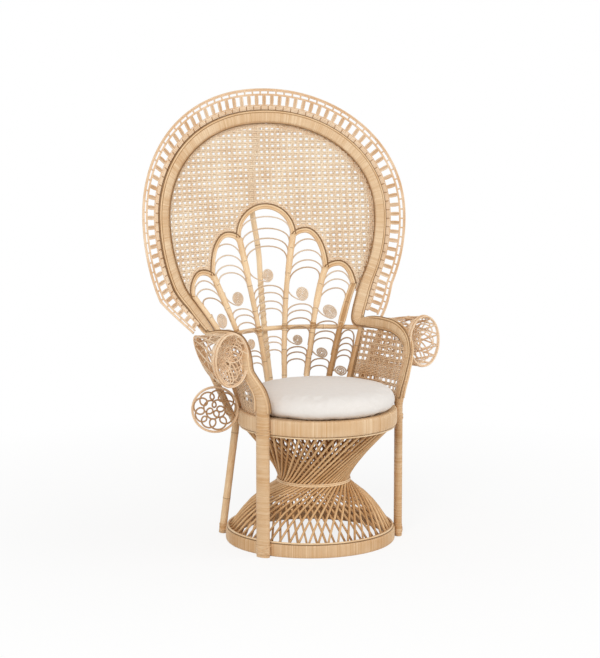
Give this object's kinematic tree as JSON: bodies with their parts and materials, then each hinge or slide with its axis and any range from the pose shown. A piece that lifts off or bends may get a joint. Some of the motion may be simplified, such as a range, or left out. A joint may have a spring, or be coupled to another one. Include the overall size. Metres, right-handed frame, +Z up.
{
  "type": "rattan peacock armchair",
  "caption": "Tall fan-backed rattan armchair with a lace border, scrollwork palmette, lattice horns on the arms, a twisted-cane pedestal and a loose round cushion.",
  "frame": {"origin": "middle of the footprint box at floor level", "axes": "+Z up, front of the chair towards -Y, +X towards the right-hand arm seen from the front"},
  "size_m": [1.0518, 0.6496, 1.5005],
  "materials": {
    "rattan_wrap": "rattan peel wound round a core, satin",
    "rattan_pole": "bare rattan pole, satin",
    "cane_weave": "thin cane, matt",
    "cushion_cloth": "plain woven off-white cloth, matt"
  },
  "bodies": {
    "chair": {"arm_horn_left": "cane_weave", "arm_horn_right": "cane_weave", "arm_rail_left": "rattan_wrap", "arm_rail_right": "rattan_wrap", "arm_stile_left": "rattan_pole", "arm_stile_right": "rattan_pole", "arm_strut_left": "rattan_wrap", "arm_strut_right": "rattan_wrap", "back_arch": "rattan_wrap", "back_leg_left": "rattan_pole", "back_leg_right": "rattan_pole", "back_pole": "rattan_pole", "base_bead": "rattan_pole", "base_hoop": "rattan_wrap", "base_strap_back_left": "rattan_wrap", "base_strap_back_right": "rattan_wrap", "base_strap_front_left": "rattan_wrap", "base_strap_front_right": "rattan_wrap", "cane_panel": "cane_weave", "crossbar": "rattan_pole", "front_leg_left": "rattan_wrap", "front_leg_right": "rattan_wrap", "lace_border": "cane_weave", "palmette_rim": "rattan_pole", "petal_centre": "cane_weave", "petal_inner_left": "cane_weave", "petal_inner_right": "cane_weave", "petal_middle_left": "cane_weave", "petal_middle_right": "cane_weave", "petal_outer_left": "cane_weave", "petal_outer_right": "cane_weave", "rib_inner_left": "rattan_pole", "rib_inner_right": "rattan_pole", "rib_middle_left": "rattan_pole", "rib_middle_right": "rattan_pole", "rib_outer_left": "rattan_pole", "rib_outer_right": "rattan_pole", "rosette_left": "cane_weave", "rosette_right": "cane_weave", "seat_bead": "rattan_pole", "seat_disc": "cane_weave", "seat_hoop": "rattan_wrap", "seat_strap_left": "rattan_wrap", "seat_strap_right": "rattan_wrap", "side_panel_left": "cane_weave", "side_panel_right": "cane_weave", "skirt_inner": "rattan_pole", "skirt_outer": "rattan_pole", "waist_hoop": "rattan_pole"},
    "cushion": {"cushion": "cushion_cloth"}
  },
  "joints": [
    {"name": "cushion_lift", "type": "slide", "parent": "chair", "child": "cushion", "axis": [0, 0, 1], "range_m": [0, 0.25]}
  ]
}
